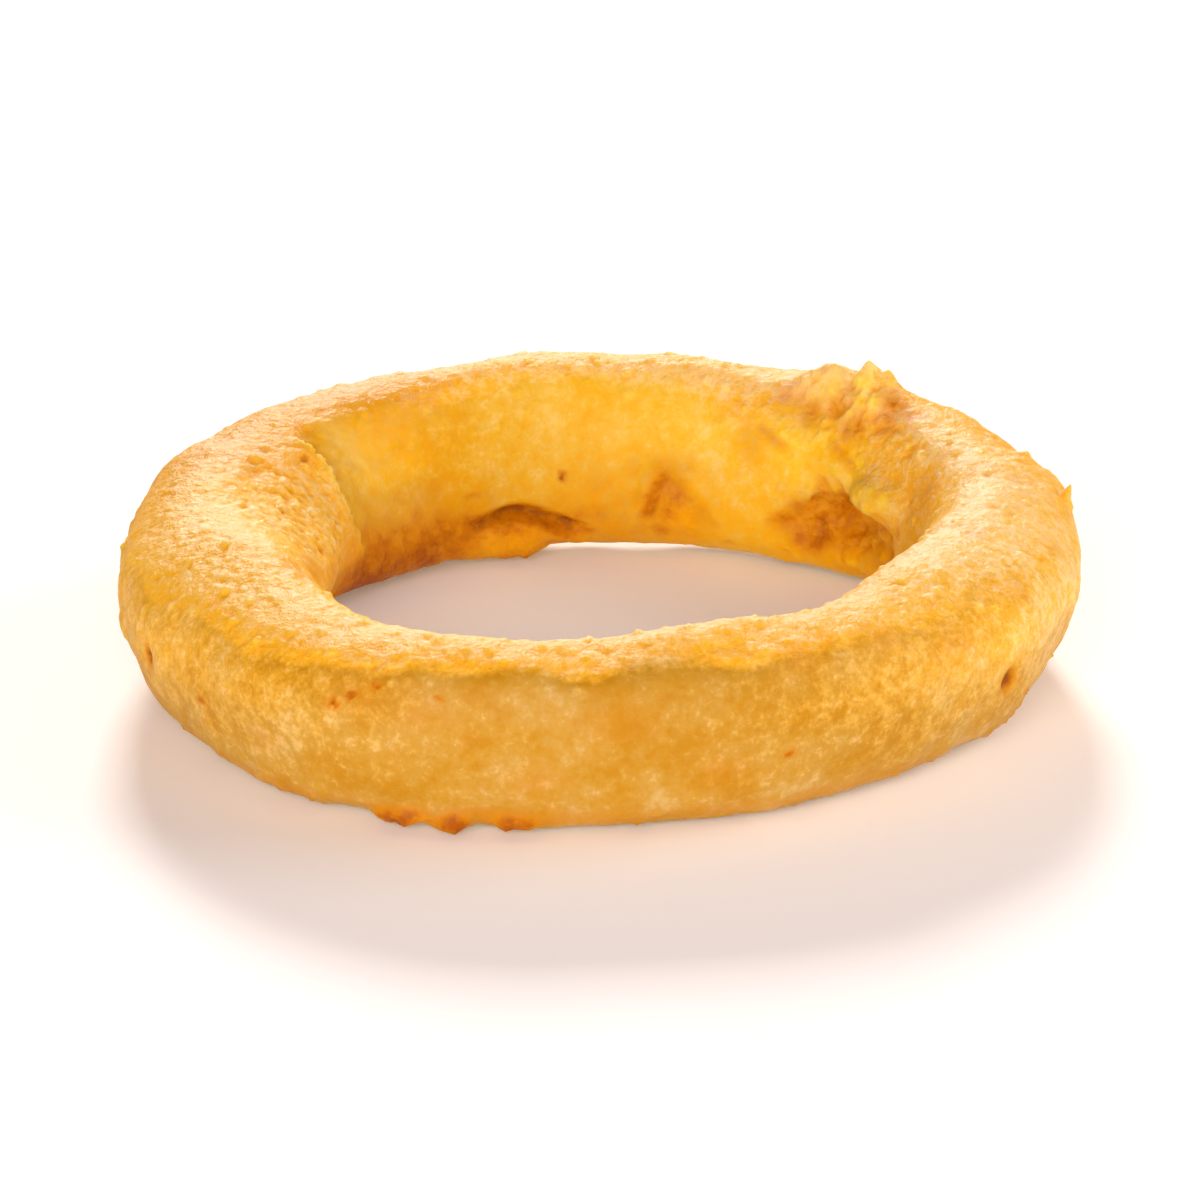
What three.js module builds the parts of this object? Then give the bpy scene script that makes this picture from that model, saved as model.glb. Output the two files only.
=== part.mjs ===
// A battered and fried onion ring, lying flat: one solid ring of crust, millimetres, +Z up.
//
// The ring is a loft. Twelve sections are measured round it, and a smooth closed curve runs
// between them. Each section is a rounded box that leans outwards at the top, as a slice of a
// bulging onion layer does. On that form come the broad lumps of the batter, then the places
// where it gathered in the fryer: a crisp peak, thin tips, drips, a torn hollow. The underside
// is pressed flat where it meets the table, apart from an arch under the rear wall.
//
// Frame: +X to the ring's right, +Y to its rear, origin on the table under the middle of its box.
// Angles go round the ring from +X towards +Y.

import * as THREE from "three";
import { ImprovedNoise } from "three/addons/math/ImprovedNoise.js";
import { mergeVertices } from "three/addons/utils/BufferGeometryUtils.js";

// Sections round the ring. radius is to the middle of the wall, wall its thickness, height is
// along the wall, lean in degrees tips its top outwards, and lift raises it off the table.
const SECTIONS = [
  { at: 0, radius: 30, wall: 12.5, height: 14.5, lean: 25, lift: 0 },
  { at: 30, radius: 31.4, wall: 10.8, height: 14.7, lean: 18, lift: 0.3 },
  { at: 60, radius: 30.6, wall: 10.2, height: 14.8, lean: 12, lift: 0.5 },
  { at: 90, radius: 29.9, wall: 9.7, height: 15.4, lean: 12, lift: 0.6 },
  { at: 120, radius: 30.7, wall: 10.4, height: 15.1, lean: 14, lift: 0.3 },
  { at: 150, radius: 31, wall: 13.5, height: 14.8, lean: 24, lift: 0.2 },
  { at: 180, radius: 29.7, wall: 14.9, height: 14.5, lean: 29, lift: 0 },
  { at: 210, radius: 31.2, wall: 14.5, height: 14, lean: 21, lift: 0 },
  { at: 240, radius: 33.2, wall: 11.5, height: 14, lean: 11, lift: 0 },
  { at: 270, radius: 31.5, wall: 10.5, height: 14, lean: 9, lift: 0 },
  { at: 300, radius: 30.3, wall: 11.5, height: 14, lean: 13, lift: 0 },
  { at: 330, radius: 29.2, wall: 13.5, height: 14.5, lean: 23, lift: 0 },
];
const SQUARENESS = 2.6; // 2 would make the section an ellipse
const PRESS = 0.35; // how deep the soft underside is pressed into the table

// Facets: steps round the ring, and steps round its section.
const STEPS_ROUND = 126;
const STEPS_ACROSS = 30;

// Broad unevenness of the batter: how far it goes, and how long one lump is.
const LUMPS = [
  { size: 0.55, span: 9, seed: 3.1 },
  { size: 0.3, span: 4.2, seed: 7.7 },
];

// Places where the batter stands out of the form or is torn away. name says what the place is,
// at is the angle round the ring, phase the angle round the section (0 outwards, 90 up, 180
// inwards, 270 down), push how far the surface moves, and along and across how wide the place is
// round the ring and round the section.
const PLACES = [
  { name: "crisp peak, left half", at: 55, phase: 108, push: 2.3, along: 1.7, across: 1.8 },
  { name: "crisp peak, right half", at: 48, phase: 100, push: 2.5, along: 1.8, across: 2 },
  { name: "shoulder beside the peak", at: 43, phase: 112, push: 1, along: 2.6, across: 2.4 },
  { name: "torn hollow", at: 41, phase: 205, push: -2, along: 3, across: 2.2 },
  { name: "knob over the hollow", at: 36, phase: 178, push: 1.2, along: 1.8, across: 1.6 },
  { name: "thin tip on the right rim", at: 16, phase: 52, push: 1.6, along: 1.1, across: 1.2 },
  { name: "bump low on the right", at: 357, phase: 352, push: 0.9, along: 1.4, across: 1.4 },
  { name: "pointed left end", at: 183, phase: 330, push: 1.2, along: 2.4, across: 2 },
  { name: "drip under the front", at: 246, phase: 305, push: 1.2, along: 2.6, across: 1.8 },
  { name: "drip right of it", at: 262, phase: 300, push: 0.8, along: 1.8, across: 1.5 },
  { name: "fold across the rear inside", at: 106, phase: 212, push: -1.1, along: 4, across: 1.3 },
  { name: "lip under the fold", at: 110, phase: 236, push: 1.2, along: 4, across: 1.6 },
  { name: "bead hanging from the lip", at: 103, phase: 238, push: 0.9, along: 1.4, across: 1.4 },
  { name: "foot inside the left", at: 137, phase: 232, push: 2, along: 8, across: 2.6 },
  { name: "flat slope inside the left", at: 172, phase: 135, push: -2.2, along: 11, across: 4.5 },
  { name: "foot of that slope", at: 172, phase: 205, push: 1.4, along: 9, across: 3 },
  { name: "wedge right of the fold", at: 78, phase: 205, push: 0.7, along: 1.8, across: 2 },
];

const noise = new ImprovedNoise();

// Value of one measure at an angle, on a closed Catmull-Rom curve through the sections.
function measure(key, angle) {
  const count = SECTIONS.length;
  const step = 360 / count;
  const place = THREE.MathUtils.euclideanModulo(angle, 360) / step;
  const first = Math.floor(place);
  const t = place - first;
  const [a, b, c, d] = [-1, 0, 1, 2].map((i) => SECTIONS[(first + i + count) % count][key]);
  const bend = 2 * a - 5 * b + 4 * c - d;
  const twist = 3 * (b - c) + d - a;
  return b + 0.5 * t * (c - a + t * (bend + t * twist));
}

// Point of the rounded box at a phase, before it leans: out along +x, up along +y.
function roundedBox(wall, height, phase) {
  const power = 2 / SQUARENESS;
  const c = Math.cos(phase);
  const s = Math.sin(phase);
  return new THREE.Vector2(
    0.5 * wall * Math.sign(c) * Math.abs(c) ** power,
    0.5 * height * Math.sign(s) * Math.abs(s) ** power,
  );
}

// How far the leaning box reaches below its middle.
function reachBelow(wall, height, lean) {
  const dual = SQUARENESS / (SQUARENESS - 1);
  const side = Math.abs(0.5 * wall * Math.sin(lean)) ** dual;
  const foot = Math.abs(0.5 * height * Math.cos(lean)) ** dual;
  return (side + foot) ** (1 / dual);
}

// The smooth form: the middle of the section at an angle, and the point on it at a phase.
function formPoint(angle, phase) {
  const [radius, wall, height, leanDegrees, lift] = ["radius", "wall", "height", "lean", "lift"].map(
    (key) => measure(key, angle),
  );
  const lean = THREE.MathUtils.degToRad(leanDegrees);
  const inSection = roundedBox(wall, height, phase).rotateAround(new THREE.Vector2(), -lean);
  const middleUp = lift - PRESS + reachBelow(wall, height, lean);
  const turn = THREE.MathUtils.degToRad(angle);
  const at = (out, up) => new THREE.Vector3(out * Math.cos(turn), out * Math.sin(turn), up);
  return {
    middle: at(radius, middleUp),
    surface: at(radius + inSection.x, middleUp + inSection.y),
  };
}

function lumpsAt(point) {
  return LUMPS.reduce(
    (sum, { size, span, seed }) =>
      sum + size * noise.noise(point.x / span + seed, point.y / span, point.z / span),
    0,
  );
}

// Push of every place on a point of the surface, fading with distance as a bell does.
const placeSpots = PLACES.map((place) => {
  const phase = THREE.MathUtils.degToRad(place.phase);
  const spot = formPoint(place.at, phase).surface;
  const turn = THREE.MathUtils.degToRad(place.at);
  const round = new THREE.Vector3(-Math.sin(turn), Math.cos(turn), 0);
  return { ...place, spot, round };
});

function placesAt(point) {
  return placeSpots.reduce((sum, { spot, round, push, along, across }) => {
    const away = point.clone().sub(spot);
    const sideways = away.dot(round);
    const rest = away.addScaledVector(round, -sideways).length();
    return sum + push * Math.exp(-((sideways / along) ** 2) - (rest / across) ** 2);
  }, 0);
}

// The crust: a torus whose every vertex is carried to its place on the uneven form.
function crustGeometry() {
  const blankRadius = 30;
  const blankTube = 7;
  const sameVertexWithin = 1e-3;
  const torus = new THREE.TorusGeometry(blankRadius, blankTube, STEPS_ACROSS, STEPS_ROUND);
  torus.deleteAttribute("normal");
  torus.deleteAttribute("uv");
  const crust = mergeVertices(torus, sameVertexWithin);
  const vertices = crust.getAttribute("position");
  const vertex = new THREE.Vector3();
  for (let i = 0; i < vertices.count; i++) {
    vertex.fromBufferAttribute(vertices, i);
    const angle = THREE.MathUtils.radToDeg(Math.atan2(vertex.y, vertex.x));
    const phase = Math.atan2(vertex.z, Math.hypot(vertex.x, vertex.y) - blankRadius);
    const { middle, surface } = formPoint(angle, phase);
    const outwards = surface.clone().sub(middle).normalize();
    const moved = surface.addScaledVector(outwards, lumpsAt(surface) + placesAt(surface));
    vertices.setXYZ(i, moved.x, moved.y, Math.max(moved.z, 0));
  }
  crust.computeBoundingBox();
  const centre = crust.boundingBox.getCenter(new THREE.Vector3());
  crust.translate(-centre.x, -centre.y, 0);
  crust.computeVertexNormals();
  return crust;
}

const batter = new THREE.MeshStandardMaterial({ color: 0xdfa550, roughness: 0.6, metalness: 0 });

const ring = new THREE.Mesh(crustGeometry(), batter);
ring.name = "onion_ring";

const part = new THREE.Group();
part.add(ring);

export default part;
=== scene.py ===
# A battered and fried onion ring on a white table. The imported ring gives the form, and this
# script makes its crust: the crisp peak, folds and hollows, the pebbled rim, and the batter's
# colours, with painted light and painted shade in some of them. Lengths are named in
# millimetres and used in metres.

import math
import random

import bmesh
import bpy
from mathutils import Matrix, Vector, noise
from mathutils.bvhtree import BVHTree
from mathutils.kdtree import KDTree


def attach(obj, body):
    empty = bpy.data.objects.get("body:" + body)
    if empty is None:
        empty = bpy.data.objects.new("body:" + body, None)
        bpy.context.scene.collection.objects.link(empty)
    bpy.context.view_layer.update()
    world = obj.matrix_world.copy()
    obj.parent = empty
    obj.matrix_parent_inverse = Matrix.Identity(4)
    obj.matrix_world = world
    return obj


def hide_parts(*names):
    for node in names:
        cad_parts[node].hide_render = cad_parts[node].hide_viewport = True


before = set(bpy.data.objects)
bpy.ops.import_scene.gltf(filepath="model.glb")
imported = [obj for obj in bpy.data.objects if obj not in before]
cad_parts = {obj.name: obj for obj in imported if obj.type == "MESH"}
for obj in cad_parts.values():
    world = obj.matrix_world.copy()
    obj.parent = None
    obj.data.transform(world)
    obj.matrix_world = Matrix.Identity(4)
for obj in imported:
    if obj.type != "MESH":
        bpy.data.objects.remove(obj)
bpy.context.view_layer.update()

MM = 0.001

# --- camera ---------------------------------------------------------------------------------

SENSOR = 36 * MM
CAMERA_AWAY = 700 * MM
CAMERA_ELEVATION = 20  # degrees above the table
VIEW_WIDTH = 93 * MM  # what the frame takes in at the ring
AIM_HEIGHT = 6.1 * MM
SEEN_FROM = 100 * MM
SEEN_TO = 20000 * MM


def make_camera():
    data = bpy.data.cameras.new("camera")
    data.sensor_width = SENSOR / MM
    data.lens = SENSOR / MM * CAMERA_AWAY / VIEW_WIDTH
    data.clip_start = SEEN_FROM
    data.clip_end = SEEN_TO
    camera = bpy.data.objects.new("camera", data)
    tilt = math.radians(CAMERA_ELEVATION)
    away = Vector((0, -math.cos(tilt), math.sin(tilt))) * CAMERA_AWAY
    camera.location = Vector((0, 0, AIM_HEIGHT)) + away
    camera.rotation_euler = (-away).to_track_quat("-Z", "Y").to_euler()
    bpy.context.scene.collection.objects.link(camera)
    bpy.context.scene.camera = camera


make_camera()

# --- crust form -----------------------------------------------------------------------------

SAME_VERTEX = 0.001 * MM
ROUNDING = 2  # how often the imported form's facets are halved and smoothed
FACET = 0.55 * MM
COARSE_BELOW = 0.35  # steeper skin keeps its facets, and the rest gets finer ones
LEFT_GAIN = 0.3  # how much steeper the skin may be at the left end and still get finer ones
LEFT_END = (20 * MM, 24 * MM)  # where that gain starts, and where it is whole
SECTION_STEP = 5  # degrees between the sections whose middles are measured
THICK_SIDE = 160  # angle where the inside has its thickest batter, and the least painted glow


def link(name, mesh):
    piece = bpy.data.objects.new(name, mesh)
    bpy.context.scene.collection.objects.link(piece)
    return piece


def apply_modifiers(piece):
    shown = piece.evaluated_get(bpy.context.evaluated_depsgraph_get())
    finished = bpy.data.meshes.new_from_object(shown)
    piece.modifiers.clear()
    piece.data = finished


def crust_blank():
    """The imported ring's own form, rounded, as one closed skin of even facets."""
    bm = bmesh.new()
    bm.from_mesh(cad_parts["onion_ring"].data)
    bmesh.ops.remove_doubles(bm, verts=bm.verts, dist=SAME_VERTEX)
    bmesh.ops.join_triangles(
        bm, faces=bm.faces, angle_face_threshold=math.pi, angle_shape_threshold=math.pi
    )
    mesh = bpy.data.meshes.new("crust")
    bm.to_mesh(mesh)
    bm.free()
    piece = link("crust", mesh)
    rounded = piece.modifiers.new("rounded", "SUBSURF")
    rounded.levels = rounded.render_levels = ROUNDING
    even = piece.modifiers.new("even", "REMESH")
    even.mode = "VOXEL"
    even.voxel_size = FACET
    apply_modifiers(piece)
    return piece


def turn_of(point):
    """Angle round the ring in degrees, from +X towards +Y."""
    return math.degrees(math.atan2(point.y, point.x)) % 360


def across_the_top(turn, radius, height):
    """Point at an angle round the ring, as far out and as high as it says."""
    a = math.radians(turn)
    return Vector((radius * math.cos(a), radius * math.sin(a), height))


def section_middles(verts):
    """Radius and height of the middle of each section of the ring."""
    sections = [[] for _ in range(360 // SECTION_STEP)]
    for v in verts:
        sections[int(turn_of(v.co) // SECTION_STEP)].append((v.co.xy.length, v.co.z))
    middles = []
    for section in sections:
        radii = [radius for radius, _ in section]
        heights = [height for _, height in section]
        middles.append(Vector((min(radii) + max(radii), min(heights) + max(heights))) / 2)
    return middles


class Ring:
    """The crust while it is worked: its skin, what is noted on it, and ways to find a place."""

    def __init__(self, piece):
        self.piece = piece
        self.bm = bmesh.new()
        self.bm.from_mesh(piece.data)
        self.middles = section_middles(self.bm.verts)
        notes = self.bm.verts.layers.float
        self.browning_and_shade = notes.new("browning_and_shade")  # 0 golden, 1 dark brown: browned batter, and painted shade in hollows, creases and valleys
        self.glow = notes.new("glow")  # 1 where the inside is painted bright yellow: the thin batter's yellow, and painted light through it
        self.relief = notes.new("relief")  # fine relief in millimetres
        self.crest = notes.new("crest")  # 1 on the pebbled rim and slopes, 0 on the smooth walls
        self.painted_light_and_shade = notes.new("painted_light_and_shade")  # 1 where painted light makes the crust lightest, below 0 where painted shade darkens it
        self.look_again()

    def look_again(self):
        """Takes the skin as it now is, after a round of changes."""
        self.bm.normal_update()
        self.bm.verts.ensure_lookup_table()
        self.skin = BVHTree.FromBMesh(self.bm)
        self.near = KDTree(len(self.bm.verts))
        for v in self.bm.verts:
            self.near.insert(v.co, v.index)
        self.near.balance()

    def refine(self, verts):
        """Halves the facets that meet these vertices."""
        edges = {edge for v in verts for edge in v.link_edges}
        bmesh.ops.subdivide_edges(self.bm, edges=list(edges), cuts=1, use_grid_fill=True)
        self.look_again()

    def middle(self, turn):
        """Middle of the section at an angle, between the two sections measured beside it."""
        place = turn / SECTION_STEP - 0.5
        first = math.floor(place)
        here = self.middles[first % len(self.middles)]
        after = self.middles[(first + 1) % len(self.middles)]
        return across_the_top(turn, *here.lerp(after, place - first))

    def phase(self, point):
        """Angle round the section in degrees: 0 outwards, 90 up, 180 inwards, 270 down."""
        middle = self.middle(turn_of(point))
        out = point.xy.length - middle.xy.length
        return math.degrees(math.atan2(point.z - middle.z, out)) % 360

    def spot(self, turn, phase):
        """Point of the skin at angles round the ring and round the section, and its normal."""
        b = math.radians(phase)
        ray = across_the_top(turn, math.cos(b), math.sin(b))
        return self.skin.ray_cast(self.middle(turn), ray)[:2]

    def around(self, point, reach):
        """Vertices no further than reach millimetres from a point."""
        return [self.bm.verts[index] for _, index, _ in self.near.find_range(point, reach * MM)]

    def finish(self):
        """Presses the foot flat on the table, and gives the worked skin to the piece."""
        for v in self.bm.verts:
            v.co.z = max(v.co.z, 0)
        for face in self.bm.faces:
            face.smooth = True
        self.bm.to_mesh(self.piece.data)
        self.bm.free()


def note(v, layer, value):
    """Raises what is noted to value. What is noted below 0 stays, and is taken off."""
    v[layer] += max(value - max(v[layer], 0), 0)


def ramp(value, low, high):
    """0 below low, 1 above high, and a smooth rise between."""
    t = min(max((value - low) / (high - low), 0), 1)
    return t * t * (3 - 2 * t)


def hump(value, middle, width):
    """1 at the middle, and a soft fall on both sides, to about a third at width from it."""
    return math.exp(-(((value - middle) / width) ** 2))


def grain(point, span, seed=0.0):
    """Soft unevenness between -1 and 1 whose lumps are span millimetres across."""
    return noise.noise(point / (span * MM) + Vector((seed, -seed, 2 * seed)))


def blister(point, span):
    """Domes between -0.5 and 0.5 packed side by side, span millimetres from one to the next."""
    away = noise.voronoi(point / (span * MM))[0][0]
    return 0.5 - away


class Lie:
    """How the skin lies at a vertex: where it is on the ring, and which way it faces."""

    def __init__(self, ring, v):
        self.point = v.co.copy()
        self.turn = turn_of(self.point)
        self.phase = ring.phase(self.point)
        self.up = v.normal.z
        self.outward = v.normal.dot(across_the_top(self.turn, 1, 0))
        self.inward = max(-self.outward, 0)
        a = math.radians(self.turn)
        self.rightward, self.rearward = math.cos(a), math.sin(a)
        self.left = max(-self.rightward, 0)
        self.right = max(self.rightward, 0)
        self.rear = max(self.rearward, 0)


def crest_at(lie):
    """How pebbled the crust is: 1 on the rim and on the slopes at both ends, 0 on the walls."""
    tilt = lie.up + 0.3 * lie.left + 0.12 * lie.right + 0.12 * grain(lie.point, 4, seed=2.2)
    tilt += (0.5 * ramp(lie.left, 0.75, 0.95) + 0.5 * lie.right + 0.15 * lie.rear) * lie.inward
    end = (0.7 * lie.left**2 + 0.95 * lie.right**2) * ramp(lie.up, -0.7, 0.2)
    return max(ramp(tilt, 0.7, 1.05), end)


def glow_at(lie):
    """How much the inside is painted bright yellow: the thin batter's own yellow, and painted light
    coming through it. Only inside, and less on the thick side and in front.
    """
    thin = ramp(-math.cos(math.radians(lie.turn - THICK_SIDE)), -0.8, 0.5)
    yellow = (0.5 + 0.5 * thin) * (1 - 0.5 * lie.right**2)
    yellow *= 0.4 + 0.6 * ramp(lie.rearward, -0.4, 0.3)
    return yellow * ramp(lie.inward, 0.1, 0.5)


def painted_light_and_shade_at(lie):
    """Painted light and painted shade: painted light on the rear rim, painted shade on the outer
    shoulder, at the left end and low inside.
    """
    # painted light on the rear rim, more towards the right
    rear_rim = 0.85 * lie.rear * (1 + 1.6 * lie.rightward) * hump(lie.phase, 104, 12)
    # painted shade on the outer shoulder
    shoulder = hump(lie.up, 0.72, 0.2) * ramp(lie.outward, 0.1, 0.4)
    shoulder *= 0.6 + grain(lie.point, 2.6, seed=3.7)
    # painted shade low on the inside, near the table
    low = lie.inward * ramp(-lie.point.z, -8 * MM, -3 * MM)
    # and a little painted shade over the left end
    return rear_rim - 0.55 * shoulder - 0.07 * lie.left - 0.7 * low


def toasted_and_painted_shade_at(lie):
    """How far the outer shoulder is browned, and darkened as painted shade where the light from behind
    falls strongest: not in front, and fully at the rear.
    """
    return ramp(lie.rearward, -0.3, 0.5) * ramp(lie.outward, -0.1, 0.4) * ramp(lie.up, 0, 0.35)


def pebble_crust(ring):
    """Lumps, pebbles and grit: strong on the rim and slopes, fainter on the walls."""
    moves = []
    for v in ring.bm.verts:
        lie = Lie(ring, v)
        crest = crest_at(lie)
        foot = ramp(-lie.point.z, -2.6 * MM, -0.8 * MM) * ramp(lie.up, -0.9, -0.5)
        lump = 0.13 * grain(lie.point, 3.2) + 0.05 * grain(lie.point, 1.8, seed=1.3)
        pebble = (0.03 + 0.11 * crest) * blister(lie.point, 1.2)
        grit = (0.02 + 0.08 * crest) * grain(lie.point, 0.6, seed=5.1)
        dent = -0.1 * (1 - crest) * ramp(grain(lie.point, 1.5, seed=6.6), 0.35, 0.75)
        rag = 0.4 * foot * abs(grain(lie.point, 1.6, seed=8.4))
        fine = pebble + grit + dent
        moves.append((v, v.normal * (lump + fine + rag) * MM))
        v[ring.relief] = fine
        v[ring.crest] = crest
        # The foot's amber is partly painted light coming through the foot, and the shoulder's darkening
        # partly painted shade.
        v[ring.browning_and_shade] = 0.1 * ramp(-dent, 0.02, 0.12) + 0.3 * foot + 0.11 * toasted_and_painted_shade_at(lie)
        v[ring.painted_light_and_shade] = painted_light_and_shade_at(lie)
        v[ring.glow] = glow_at(lie)
    for v, move in moves:
        v.co += move
    ring.look_again()


class Place:
    """A spot on the skin with its own directions: round the ring, across the section and out."""

    def __init__(self, ring, turn, phase, spin=0):
        self.at, self.out = ring.spot(turn, phase)
        a, s = math.radians(turn), math.radians(spin)
        ahead = Vector((-math.sin(a), math.cos(a), 0))
        aside = self.out.cross(ahead).normalized()
        self.long = ahead * math.cos(s) + aside * math.sin(s)
        self.wide = aside * math.cos(s) - ahead * math.sin(s)

    def off(self, point, size):
        """How far a point is from the spot, where 1 is the edge of a patch of that size."""
        away = (point - self.at) / MM
        depth = away.dot(self.out) / max(size)
        return math.hypot(away.dot(self.long) / size[0], away.dot(self.wide) / size[1], depth)


DAB_REACH = 1.8  # how many times its size a dab is worked, where it has faded out
LEG_STEPS = 12  # points that each leg of a crease's path is cut into
FADE = 0.24  # share of a crease's path over which it starts, and over which it ends


def dab(
    ring, turn, phase, size, push=0.0, rugged=0.0, brown_and_shade=0.0, glow=0.0, painted_light_and_shade=0.0, spin=0, firm=1
):
    """Works one patch of the skin: pushes it out or in, roughens it, and notes its colour, its painted
    light and its painted shade.

    size is its reach in millimetres round the ring and across the section, before it is spun.
    A firm patch has a flat middle and a steep edge.
    """
    place = Place(ring, turn, phase, spin)
    for v in ring.around(place.at, DAB_REACH * max(size)):
        uneven = 1 + 0.35 * grain(v.co, 1.4, turn)
        share = math.exp(-((place.off(v.co, size) * uneven) ** (2 * firm)))
        rough = rugged * (grain(v.co, 1, phase) + 0.6 * grain(v.co, 0.5, turn))
        v[ring.relief] += share * rough
        note(v, ring.browning_and_shade, share * brown_and_shade)
        note(v, ring.glow, share * glow)
        v[ring.crest] *= 1 - (share * glow) ** 2
        note(v, ring.painted_light_and_shade, share * painted_light_and_shade)
        v.co += v.normal * share * (push + rough) * MM


def spike(ring, turn, phase, length, width, lean=(0, 0, 0), brown_and_shade=0.0):
    """Pulls a small pointed crumb out of the skin, leaning the way that lean says."""
    at, out = ring.spot(turn, phase)
    pull = (out + Vector(lean)).normalized() * length * MM
    for v in ring.around(at, width):
        share = max(0, 1 - (v.co - at).length / (width * MM)) ** 1.3
        v.co += pull * share
        v[ring.relief] += 0.3 * length * share
        note(v, ring.browning_and_shade, brown_and_shade * share)


def crease(ring, path, reach, shape):
    """Works the skin beside a path of (turn, phase) points, as far as reach millimetres from it.

    shape takes the millimetres across from the path, positive on its left. It gives the push,
    how far it is browned and darkened with painted shade, the change of crest, and the painted light and
    painted shade there.
    """
    legs = list(zip(path, path[1:]))
    steps = [Vector(a).lerp(Vector(b), i / LEG_STEPS) for a, b in legs for i in range(LEG_STEPS)]
    line = [ring.spot(*step) for step in steps + [Vector(path[-1])]]
    finder = KDTree(len(line))
    for i, (at, _) in enumerate(line):
        finder.insert(at, i)
    finder.balance()
    beside = {v.index: v for at, _ in line[::3] for v in ring.around(at, reach + 1)}
    for v in beside.values():
        _, i, distance = finder.find(v.co)
        at, out = line[i]
        ahead = line[min(i + 1, len(line) - 1)][0] - line[max(i - 1, 0)][0]
        left = out.cross(ahead).normalized()
        beyond = abs((v.co - at).dot(ahead.normalized())) / MM
        way = i / (len(line) - 1)
        share = ramp(way, 0, FADE) * ramp(1 - way, 0, FADE) * ramp(-beyond, -1.2, -0.2)
        share *= ramp(reach - distance / MM, 0, 0.4 * reach)
        push, brown_and_shade, crest, painted_light_and_shade = shape((v.co - at).dot(left) / MM)
        v.co += v.normal * push * share * MM
        note(v, ring.browning_and_shade, brown_and_shade * share)
        note(v, ring.painted_light_and_shade, painted_light_and_shade * share)
        v[ring.crest] = min(max(v[ring.crest] + crest * share, 0), 1)


# Routes on the skin, as angles round the ring and round the section.
CREVICE = [(115, 213.5), (111, 215.5), (107, 214.4), (104, 214.6), (101, 218), (97, 224)]
CREVICE += [(92.3, 229), (88, 237)]
LEFT_EDGE = [(146, 100), (146, 112), (145.5, 126), (145.8, 142), (146, 158), (144.5, 180)]
LEFT_EDGE += [(142, 197), (142.4, 212)]
WEDGE_LEFT = [(77.6, 174), (79, 190), (80.4, 206), (83, 230)]
WEDGE_RIGHT = [(77.2, 178), (75, 192), (71.6, 208), (68, 228)]

# Small marks: the same two angles, and how far across in millimetres.
SPECKS = [(240.7, 34, 0.6), (243.6, 43, 0.5), (238.6, 27, 0.5), (251, 39, 0.4), (293.4, 349, 0.5)]
SPECKS += [(149.6, 122.5, 0.5), (217, 352, 0.6), (337.7, 327, 0.6)]
ORANGE_PATCHES = [(13.2, 92, 1.6), (335, 38, 1.8), (352.6, 43, 1.6), (344.4, 88, 1.4), (318.5, 32, 2)]
ORANGE_PATCHES += [(295.6, 54, 1.8), (308, 51, 1.4), (249.6, 28, 2), (273, 27, 2.6), (171.4, 57, 1.6)]
ORANGE_PATCHES += [(20.6, 137, 2.6), (262, 335, 2), (285, 338, 2.2), (228, 345, 1.6), (241.5, 36, 2.2)]

# Browned places: the same two angles, and how brown.
PEAK_BROWNS = [(57.2, 112, 0.2), (54.5, 119, 0.34), (50.3, 113, 0.42), (41.5, 101, 0.36), (37.5, 99, 0.3)]
PEAK_BROWNS += [(40.8, 113, 0.36), (45.5, 125, 0.4), (60, 108, 0.2)]
WEDGE_BROWNS = [(77.8, 184, 0.3), (79, 196, 0.36), (81.5, 207, 0.36), (77.8, 214, 0.42)]
WEDGE_BROWNS += [(79.5, 226, 0.4)]

# Knobs over the hollow: the same two angles, and how far out in millimetres.
KNOBS = [(38, 168, 1.2), (34.5, 172, 1.32), (31, 164, 0.96), (35, 161, 0.72), (41, 180, 0.72)]

# Painted yellow highlights on small points of the peak: only the two angles.
PEAK_HIGHLIGHTS = [(46.8, 102), (46.5, 110), (47.4, 117), (52, 104), (44, 106), (48.8, 98)]

# Small crisp points all over: how many, and their lengths and widths in millimetres.
CRUMBS = 700
CRUMB_LENGTHS = (0.1, 0.36)
CRUMB_WIDTHS = (0.4, 0.7)
CRUMB_SEED = 7

# Where the work is finest: the same two angles, and how far round in millimetres.
FINE_PLACES = [(49, 108, 5.2), (43, 203, 5.6), (77, 205, 3.6), (104, 218, 4.5), (11, 36, 1.5)]


def sculpt_left_edge(ring):
    """The edge between the rough left slope and the smooth rear wall, and the slope's patches, with
    painted light on the slope, painted glow on the wall beyond it and painted shade on the rear-left rim.
    """

    def step(across):
        if across > 0:
            return -0.3 * math.exp(-across / 1.6), 0.03, -1, 0
        # the slope's side, with painted light
        return 0.45 * math.exp(across / 1.8), 0, 1, 0.3

    crease(ring, LEFT_EDGE, 6, step)
    # painted glow on the shaded wall just beyond the edge
    for turn, phase in ((134, 109), (130, 118), (130, 134), (130, 152)):
        dab(ring, turn, phase, size=(5.6, 2.8), glow=0.75, firm=2)
    # painted light on the left slope
    dab(ring, 166, 146, size=(8, 6), rugged=0.22, painted_light_and_shade=0.35, firm=2)
    dab(ring, 208, 62, size=(9, 4), rugged=0.1, painted_light_and_shade=0.1, firm=2)
    # the rear-left rim browned, and darkened as painted shade where the light from behind falls
    dab(ring, 152, 76, size=(9, 6), brown_and_shade=0.16, firm=2)
    dab(ring, 130, 88, size=(10, 5), brown_and_shade=0.2, firm=2)
    for turn, phase in ((214, 116), (206, 138), (190, 160), (176, 175), (164, 190), (153, 204)):
        dab(ring, turn, phase, size=(2.6, 1.5), rugged=0.12, brown_and_shade=0.26)


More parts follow.
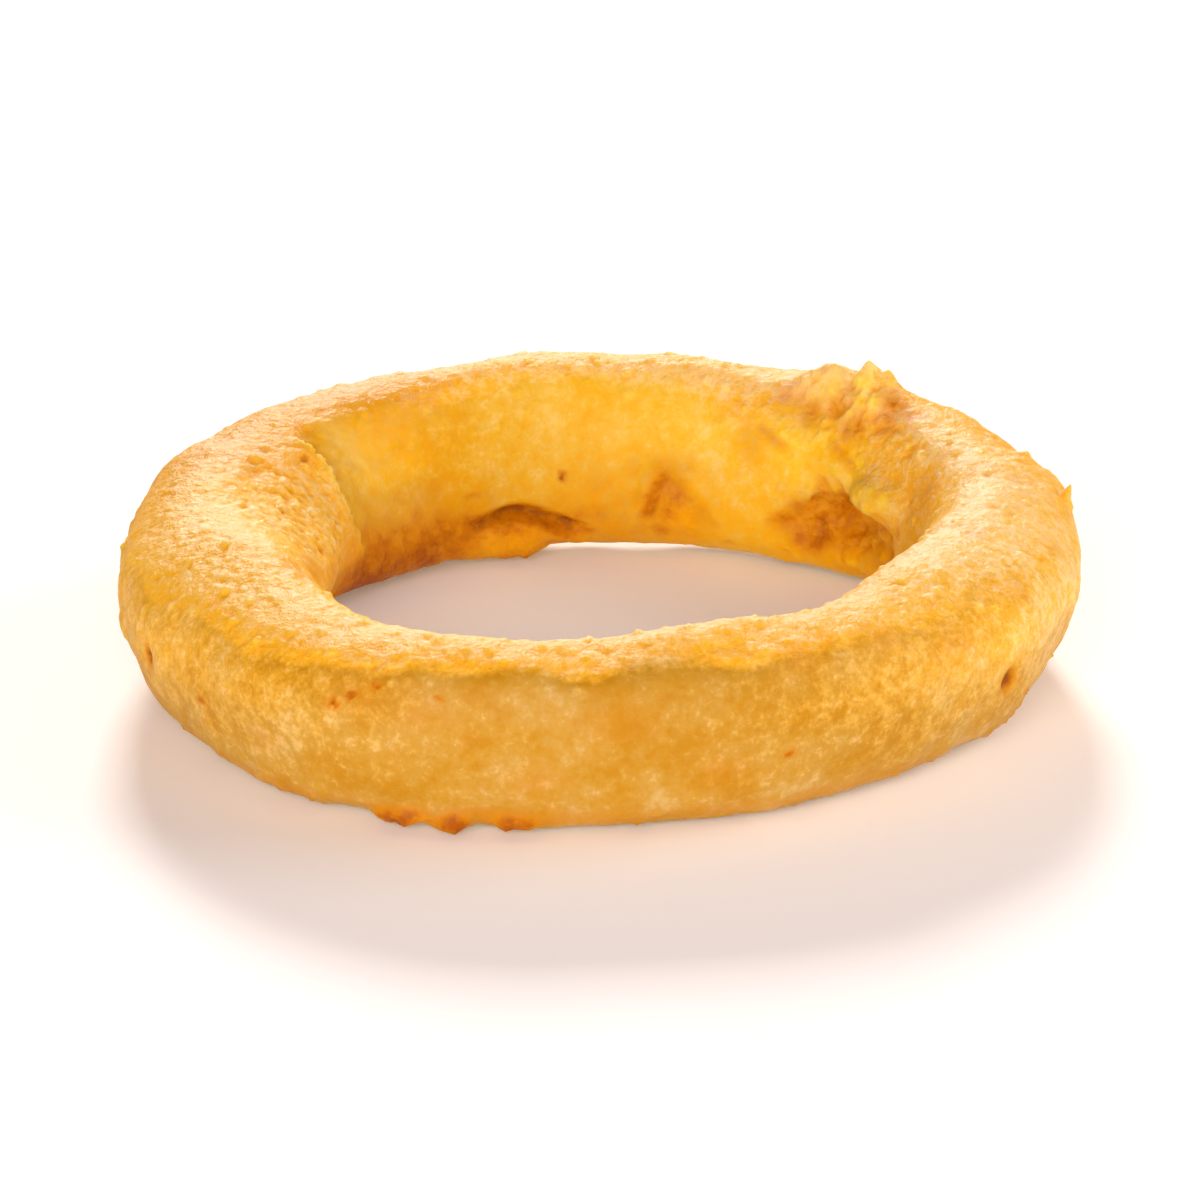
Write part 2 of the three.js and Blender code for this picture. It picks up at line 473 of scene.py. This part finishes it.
def paint_light_on_right_slope(ring):
    """Painted light: the lightest crust, on top of the right end and on its outer slope."""
    dab(ring, 340, 88, size=(9, 5), painted_light_and_shade=0.9, firm=2)
    dab(ring, 2, 84, size=(8, 5), painted_light_and_shade=0.9, firm=2)
    dab(ring, 350, 47, size=(11, 6), painted_light_and_shade=0.75, firm=2)


def sculpt_peak(ring):
    """The crisp double peak on the rear rim, in rougher crust with browned flanks, painted glow and
    painted yellow highlights.
    """
    # painted glow over the peak, against its shade
    dab(ring, 47.5, 108, size=(4.8, 3.8), rugged=0.23, glow=0.5, firm=2)
    dab(ring, 50.4, 95, size=(0.8, 1.2), push=-0.5)
    spike(ring, 53.3, 94, length=1.0, width=1.7, brown_and_shade=0.15)
    spike(ring, 47.6, 93, length=1.1, width=1.6)
    spike(ring, 45.2, 88, length=0.7, width=1.2, brown_and_shade=0.25)
    for turn, phase, brown_and_shade in PEAK_BROWNS:
        dab(ring, turn, phase, size=(1.2, 1.3), push=-0.2, brown_and_shade=brown_and_shade)
    # painted yellow highlights on small raised points
    for turn, phase in PEAK_HIGHLIGHTS:
        spike(ring, turn, phase, length=0.4, width=1.1)
        dab(ring, turn, phase, size=(0.9, 1.3), glow=1, painted_light_and_shade=1)


def sculpt_thin_patch(ring):
    """Thin yellow batter inside, under the peak, with a few slanting folds. Its yellow is partly painted
    glow and painted light, and the folds have painted highlights and painted shade.
    """
    # painted glow and painted light on the thin batter
    dab(ring, 54, 158, size=(6, 5.5), glow=1, rugged=0.12)
    dab(ring, 68, 148, size=(9, 6), painted_light_and_shade=0.45, firm=2)
    dab(ring, 42.5, 157, size=(3, 3), glow=1)

    def fold(across):
        wave = 0.15 * hump(across, 0, 0.7) - 0.1 * hump(across, 1.1, 0.6)
        # a painted highlight on the fold's ridge and painted shade beside it
        return wave, 0.24 * hump(across, 1.2, 0.6), 0, 0.6 * hump(across, 0, 0.7)

    crease(ring, [(65, 138), (61.5, 150), (57, 168)], 2.2, fold)
    crease(ring, [(50.5, 150), (47.5, 160), (43, 172)], 2.2, fold)
    for turn, phase, brown_and_shade in ((63.5, 147, 0.2), (51, 165, 0.1), (45.5, 150, 0.04)):
        dab(ring, turn, phase, size=(1.2, 1.8), brown_and_shade=brown_and_shade, spin=30)


def sculpt_torn_hollow(ring):
    """A torn hollow low inside the right, dark in its depth, and yellow knobs that hang over it. The dark
    in the depth is partly painted shade, and the knobs are lit with painted glow and painted light.
    """
    dab(ring, 48, 212, size=(4.2, 2.8), push=-1.4, rugged=0.5, brown_and_shade=0.43, firm=2)
    dab(ring, 38, 207, size=(4.4, 2.8), push=-0.7, rugged=0.45, brown_and_shade=0.3, firm=2)
    dab(ring, 30.5, 194, size=(3, 2.2), push=-0.15, rugged=0.25, brown_and_shade=0.04)
    # the depth of the hollow, darkened partly as painted shade
    dab(ring, 46.5, 204, size=(2.2, 1.4), push=-0.7, brown_and_shade=0.78)
    dab(ring, 34, 198, size=(2.2, 1.2), push=-0.3, brown_and_shade=0.12)
    dab(ring, 51.5, 221, size=(1.8, 1.6), push=-0.2, brown_and_shade=0.9)
    dab(ring, 55, 214, size=(1.3, 1), push=-0.3, brown_and_shade=0.7)
    # painted glow and painted light on the knobs
    for turn, phase, push in KNOBS:
        dab(ring, turn, phase, size=(1.3, 1.2), push=push, glow=1, painted_light_and_shade=0.6)
    dab(ring, 39, 212, size=(1.3, 1.1), push=0.6, glow=0.6, brown_and_shade=0.35)
    dab(ring, 44, 221, size=(1.8, 0.8), push=0.5, glow=0.6, brown_and_shade=0.35)
    # painted glow on the low rim under the hollow
    for turn, phase in ((54.5, 232), (44, 228), (34, 216)):
        dab(ring, turn, phase, size=(3, 1.4), push=0.3, rugged=0.25, glow=1, brown_and_shade=0.04)


def sculpt_wedge(ring):
    """A three-cornered fold of batter beside the hollow, browner on its left flank."""

    def flank(across):
        push = 0.5 * hump(across, -0.9, 0.8) - 0.35 * hump(across, 0.3, 0.6)
        return push, 0.48 * hump(across, 0, 1.1), 0, 0

    def edge(across):
        push = 0.3 * hump(across, 0.8, 0.9) - 0.2 * hump(across, -0.5, 0.9)
        return push, 0.2 * hump(across, 0, 1), 0, 0

    # painted glow in the middle of the wedge
    dab(ring, 75, 216, size=(2.6, 3), push=0.3, rugged=0.2, glow=1, brown_and_shade=0.24)
    dab(ring, 77.3, 201, size=(1.9, 2.2), brown_and_shade=0.42)
    dab(ring, 76.4, 192, size=(1.2, 1.7), brown_and_shade=0.34)
    crease(ring, WEDGE_LEFT, 3, flank)
    crease(ring, WEDGE_RIGHT, 2.4, edge)
    for turn, phase, brown_and_shade in WEDGE_BROWNS:
        dab(ring, turn, phase, size=(1.3, 1.3), rugged=0.15, brown_and_shade=brown_and_shade)
    dab(ring, 86.5, 208, size=(1.6, 1.4), brown_and_shade=0.18)
    dab(ring, 90, 196, size=(1.8, 1.2), brown_and_shade=0.12)


def sculpt_crevice(ring):
    """The arched crevice low inside the rear, over a lip of orange batter, and the browned foot. The
    crevice's dark and the dark low in the left corner are partly painted shade.
    """

    def groove(across):
        lip = 0.6 * hump(across, -1.1, 0.7)
        cut = 0.65 * hump(across, 0, 0.55)
        brow = 0.2 * hump(across, 1, 0.6)
        # browned, and darkest in the cut as painted shade
        brown_and_shade = max(0.75 * hump(across, 0, 0.5), 0.6 * hump(across, -0.5, 0.9))
        return lip - cut + brow, brown_and_shade, 0, 0

    # painted glow round the crevice
    dab(ring, 107, 226, size=(5.5, 2), rugged=0.15, brown_and_shade=0.28, glow=1)
    crease(ring, CREVICE, 2.6, groove)
    # dark along the crevice, partly painted shade
    dab(ring, 105, 214, size=(1.8, 0.5), push=-0.3, brown_and_shade=1)
    dab(ring, 119, 206, size=(1.6, 0.35), push=-0.2, brown_and_shade=0.5)
    dab(ring, 111.8, 214.5, size=(1.8, 0.8), brown_and_shade=0.9)
    dab(ring, 107, 220.5, size=(2.6, 1), brown_and_shade=0.6)
    dab(ring, 120, 216, size=(4.5, 1), brown_and_shade=0.4, spin=-8)
    dab(ring, 98, 222, size=(6, 0.9), brown_and_shade=0.4, spin=12)
    dab(ring, 104.5, 238, size=(2, 1), rugged=0.3, brown_and_shade=0.75)
    # painted shade in the low left corner inside
    dab(ring, 139, 222, size=(6, 3.4), rugged=0.1, brown_and_shade=0.95)
    dab(ring, 126, 222, size=(7, 3), rugged=0.1, brown_and_shade=0.75)
    # the browned inside foot, partly painted shade low against the table
    for turn, brown_and_shade in ((118, 0.36), (96, 0.3), (88, 0.25), (76, 0.1), (64, 0.03), (30, 0.12)):
        dab(ring, turn, 232, size=(5.5, 2.8), rugged=0.1, brown_and_shade=brown_and_shade)
    dab(ring, 113, 195, size=(1, 0.3), push=-0.2, brown_and_shade=0.3)
    dab(ring, 96.6, 189, size=(0.35, 0.35), push=-0.3, brown_and_shade=0.9)


def sculpt_marks(ring):
    """Low swells on the front rim, specks, two pits, orange patches, drips and larger points."""
    for turn, push in ((271, 0.3), (283, 0.6), (292, 0.35)):
        dab(ring, turn, 108, size=(4, 3), push=push)
    for turn, phase, size in SPECKS:
        dab(ring, turn, phase, size=(size, 0.7 * size), rugged=0.3, brown_and_shade=0.74, firm=3)
    dab(ring, 329.7, 351, size=(0.8, 1), push=-0.6, brown_and_shade=1.2, firm=2)
    dab(ring, 204.6, 359, size=(0.5, 0.8), push=-0.4, brown_and_shade=1.2)
    for turn, phase, size in ORANGE_PATCHES:
        dab(ring, turn, phase, size=(size, 0.7 * size), brown_and_shade=0.15, rugged=0.08)
    dab(ring, 253, 302, size=(6.5, 1), brown_and_shade=0.34, firm=2)
    for turn, push, reach in ((245.5, 0.6, 2), (252, 1, 1.2), (259.5, 0.6, 1.6)):
        dab(ring, turn, 302, size=(reach, 0.9), push=push, brown_and_shade=0.9, rugged=0.4, firm=2)
    spike(ring, 11, 36, length=1.6, width=0.9, lean=(0, 0, 2.2), brown_and_shade=0.5)
    spike(ring, 21, 55, length=0.5, width=1.2)
    spike(ring, 349.6, 11, length=0.7, width=0.9)
    spike(ring, 191.9, 0, length=0.4, width=1.6)


def strew_crumbs(ring):
    """Many small crisp points on the rim and the slopes, and round the foot."""
    random.seed(CRUMB_SEED)
    for _ in range(CRUMBS):
        turn = random.uniform(0, 360)
        phase = random.choice((random.gauss(90, 38), random.gauss(90, 60), random.gauss(300, 14)))
        length, width = random.uniform(*CRUMB_LENGTHS), random.uniform(*CRUMB_WIDTHS)
        spike(ring, turn, phase % 360, length, width)


def paint_shade_in_valleys(ring):
    """Darkens the bottoms between the pebbles and crumbs a little, as painted shade."""
    for v in ring.bm.verts:
        note(v, ring.browning_and_shade, 0.34 * ramp(-v[ring.relief], 0.03, 0.24))


def gets_finer(v):
    """Whether the skin at a vertex faces up enough for finer facets."""
    return v.normal.z + LEFT_GAIN * ramp(-v.co.x, *LEFT_END) > COARSE_BELOW


def make_crust():
    piece = crust_blank()
    ring = Ring(piece)
    ring.refine([v for v in ring.bm.verts if gets_finer(v)])
    for turn, phase, reach in FINE_PLACES:
        ring.refine(ring.around(ring.spot(turn, phase)[0], reach))
    pebble_crust(ring)
    for sculpt in (
        sculpt_left_edge,
        paint_light_on_right_slope,
        sculpt_thin_patch,
        sculpt_peak,
        sculpt_torn_hollow,
        sculpt_wedge,
        sculpt_crevice,
        sculpt_marks,
        strew_crumbs,
        paint_shade_in_valleys,
    ):
        sculpt(ring)
        ring.look_again()
    ring.finish()
    return piece


crust = make_crust()

# --- finishes -------------------------------------------------------------------------------


def paint(red, green, blue):
    """A colour named by its screen values, 0 to 255, as the shader takes it."""

    def linear(value):
        share = value / 255
        return share / 12.92 if share <= 0.04045 else ((share + 0.055) / 1.055) ** 2.4

    return (linear(red), linear(green), linear(blue), 1)


# Each finish goes from its darkest batter to its lightest.
WALL_TONES = [paint(188, 131, 21), paint(192, 141, 41), paint(196, 150, 62), paint(203, 165, 93)]
CREST_TONES = [paint(249, 182, 36), paint(250, 189, 62), paint(251, 197, 90), paint(251, 207, 128)]
# The inside's tones carry the painted glow of light through the thin batter, over its own yellow.
INSIDE_TONES = [paint(255, 188, 2), paint(252, 198, 30), paint(249, 207, 64), paint(249, 217, 102)]

# Browned batter turns rust and then brown. On the smooth outer wall its rust is duller.
RUST = paint(216, 133, 0)
WALL_RUST = paint(198, 124, 5)
BROWN = paint(162, 84, 0)

CRUST_SHADING = {
    "Roughness": 0.5,
    "Specular IOR Level": 0.12,
    "Subsurface Weight": 0.5,
    "Subsurface Radius": (1.0, 0.6, 0.15),
    "Subsurface Scale": 4 * MM,
}
SHADED_RELIEF = 0.25 * MM  # height of the finest relief, which is only in the shading

# A Mix node's sockets for two colours, and for the colour that it gives.
MIX_UNDER = 6
MIX_OVER = 7
MIX_RESULT = 2


def set_sockets(node, values):
    for name, value in values.items():
        node.inputs[name].default_value = value


def add(tree, kind, sockets=None, **settings):
    """A new shader node with its settings, and its sockets joined or set."""
    made = tree.nodes.new("ShaderNode" + kind)
    for name, value in settings.items():
        setattr(made, name, value)
    for name, value in (sockets or {}).items():
        if isinstance(value, bpy.types.NodeSocket):
            tree.links.new(value, made.inputs[name])
        else:
            made.inputs[name].default_value = value
    return made


def new_material(name):
    """A new material, with its tree and its main shader."""
    material = bpy.data.materials.new(name)
    material.use_nodes = True
    tree = material.node_tree
    return material, tree, tree.nodes["Principled BSDF"]


def maths(tree, operation, first, second):
    return add(tree, "Math", {0: first, 1: second}, operation=operation).outputs[0]


def total(tree, start, *parts):
    """start, and of each part its share, added up."""
    for value, share in parts:
        start = add(tree, "Math", {0: value, 1: share, 2: start}, operation="MULTIPLY_ADD").outputs[0]
    return start


def spread(tree, value, low, high):
    """0 where value is under low, 1 above high."""
    made = add(tree, "MapRange", {"Value": value, "From Min": low, "From Max": high})
    return made.outputs["Result"]


def clouds(tree, place, span, detail=3, roughness=0.5):
    """Soft unevenness about 0, in patches span millimetres across."""
    settings = {"Vector": place, "Scale": 1 / span, "Detail": detail, "Roughness": roughness}
    return total(tree, -0.5, (add(tree, "TexNoise", settings).outputs["Fac"], 1))


def crumbs(tree, place, span):
    """A shade about 0 for each crumb, and how far a point is from the middle of its crumb.

    The crumbs lie side by side, span millimetres from one to the next.
    """
    cells = add(tree, "TexVoronoi", {"Vector": place, "Scale": 1 / span})
    shade = add(tree, "SeparateColor", {"Color": cells.outputs["Color"]}).outputs["Red"]
    return total(tree, -0.5, (shade, 1)), cells.outputs["Distance"]


def stirred(tree, place, span, reach):
    """The place pushed about by up to reach millimetres, which makes outlines ragged."""
    stir = add(tree, "TexNoise", {"Vector": place, "Scale": 1 / span, "Detail": 2}).outputs["Color"]
    push = (2 * reach, 2 * reach, 2 * reach)
    return add(tree, "VectorMath", {0: stir, 1: push, 2: place}, operation="MULTIPLY_ADD").outputs[0]


def own(tree, name):
    """What was noted on the skin by that name."""
    return add(tree, "Attribute", attribute_name=name).outputs["Fac"]


def millimetres(tree, place):
    return add(tree, "VectorMath", {0: place, "Scale": 1 / MM}, operation="SCALE").outputs[0]


def blend(tree, share, under, over):
    """One colour, and as much of another over it as share says."""
    sockets = {"Factor": share, MIX_UNDER: under, MIX_OVER: over}
    return add(tree, "Mix", sockets, data_type="RGBA").outputs[MIX_RESULT]


def tones(tree, value, colours):
    """A colour that goes through the colours as value goes from 0 to 1."""
    made = add(tree, "ValToRGB", {"Fac": value})
    elements = made.color_ramp.elements
    elements[0].color = colours[0]
    elements[-1].color = colours[-1]
    for i, colour in enumerate(colours[1:-1], 1):
        elements.new(i / (len(colours) - 1)).color = colour
    return made.outputs["Color"]


class Patterns:
    """The uneven patterns of the batter, from patches down to crumbs."""

    def __init__(self, tree):
        place = millimetres(tree, add(tree, "TexCoord").outputs["Object"])
        ragged = stirred(tree, place, span=0.7, reach=0.35)
        self.crumb, self.crumb_rise = crumbs(tree, ragged, span=0.75)
        self.wide = clouds(tree, place, span=5)
        self.middling = clouds(tree, place, span=1.1, roughness=0.6)
        self.fine = clouds(tree, place, span=0.38, roughness=0.65)
        rough = total(tree, own(tree, "crest"), (self.fine, 0.6), (self.middling, 0.8))
        self.rough = spread(tree, rough, 0.1, 0.85)


def golden_batter(tree, patterns):
    """The colour of the batter where it isn't browned: on the walls, inside and on the crest, with its
    painted light and painted shade.
    """
    painted_light_and_shade, relief = own(tree, "painted_light_and_shade"), own(tree, "relief")
    smooth = [(patterns.wide, 2.2), (patterns.middling, 1.5), (patterns.fine, 0.7), (patterns.crumb, 0.1)]
    wall = total(tree, 0.45, *smooth, (painted_light_and_shade, 0.2))
    pebbled = [(patterns.wide, 0.8), (patterns.middling, 1.6), (patterns.fine, 2), (patterns.crumb, 0.5)]
    # On the crest, raised pebbles are painted lighter and their bottoms darker, as painted highlight and
    # painted shade.
    rim = total(tree, 0.36, *pebbled, (painted_light_and_shade, 0.6), (relief, 2.5))
    thin = [(patterns.wide, 1), (patterns.middling, 1.4), (patterns.fine, 0.8)]
    inside = total(tree, 0.45, *thin, (painted_light_and_shade, 0.4))
    outer, inner = tones(tree, wall, WALL_TONES), tones(tree, inside, INSIDE_TONES)
    colour = blend(tree, own(tree, "glow"), outer, inner)
    return blend(tree, patterns.rough, colour, tones(tree, rim, CREST_TONES))


def browned(tree, patterns, colour):
    """A colour darkened where the batter is browned and where shade is painted, first towards RUST and
    then towards BROWN.
    """
    uneven = total(tree, 0.95, (patterns.fine, 0.6), (patterns.middling, 1.3), (patterns.crumb, 0.3))
    browning_and_shade = maths(tree, "MULTIPLY", own(tree, "browning_and_shade"), uneven)
    bright = maths(tree, "MAXIMUM", own(tree, "glow"), patterns.rough)
    rust = blend(tree, bright, WALL_RUST, RUST)
    colour = blend(tree, spread(tree, browning_and_shade, 0, 0.45), colour, rust)
    return blend(tree, spread(tree, browning_and_shade, 0.4, 0.9), colour, BROWN)


def batter_finish():
    material, tree, shader = new_material("fried batter")
    set_sockets(shader, CRUST_SHADING)
    patterns = Patterns(tree)
    colour = browned(tree, patterns, golden_batter(tree, patterns))
    tree.links.new(colour, shader.inputs["Base Color"])
    height = total(tree, 0, (patterns.crumb_rise, -0.25), (patterns.middling, 0.4), (patterns.fine, 0.7))
    strength = total(tree, 0.4, (patterns.rough, 0.6))
    relief = {"Height": height, "Strength": strength, "Distance": SHADED_RELIEF}
    tree.links.new(add(tree, "Bump", relief).outputs["Normal"], shader.inputs["Normal"])
    return material


crust.data.materials.append(batter_finish())
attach(crust, "root")
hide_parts("onion_ring")

# --- table and light ------------------------------------------------------------------------

TABLE_HALF = 4000 * MM
TABLE_DROP = 0.3 * MM  # keeps the table's face off the flat foot of the crust
TABLE_SHADING = {
    "Base Color": paint(252, 247, 242),
    "Roughness": 0.7,
    "Specular IOR Level": 0.12,
    "Emission Color": (0.95, 1, 0.9, 1),  # a little light comes through the table
    "Emission Strength": 0.125,
}


def make_table():
    bm = bmesh.new()
    bmesh.ops.create_grid(bm, x_segments=1, y_segments=1, size=TABLE_HALF)
    mesh = bpy.data.meshes.new("table")
    bm.to_mesh(mesh)
    bm.free()
    table = link("table", mesh)
    table.location.z = -TABLE_DROP
    material, _, shader = new_material("white table")
    set_sockets(shader, TABLE_SHADING)
    mesh.materials.append(material)


def make_light(name, turn, elevation, away, size, power):
    """A soft square light aimed at the ring. turn is 0 behind the ring, 90 to its right."""
    data = bpy.data.lights.new(name, "AREA")
    data.size = size
    data.energy = power
    light = bpy.data.objects.new(name, data)
    a, b = math.radians(turn), math.radians(elevation)
    off = Vector((math.sin(a) * math.cos(b), math.cos(a) * math.cos(b), math.sin(b)))
    light.location = off * away
    light.rotation_euler = off.to_track_quat("Z", "Y").to_euler()
    light.visible_camera = False
    bpy.context.scene.collection.objects.link(light)


def make_world(strength, colour):
    world = bpy.data.worlds.new("studio")
    world.use_nodes = True
    air = world.node_tree.nodes["Background"]
    set_sockets(air, {"Color": colour, "Strength": strength})
    bpy.context.scene.world = world


make_table()
make_light("key", turn=-4, elevation=24, away=1.2, size=0.24, power=13.8)
make_light("front fill", turn=190, elevation=13, away=1.0, size=0.7, power=12.3)
make_light("right fill", turn=80, elevation=22, away=1.0, size=0.7, power=5.4)
make_world(strength=0.26, colour=(1, 0.62, 0.61, 1))
bpy.context.scene.view_settings.view_transform = "Standard"
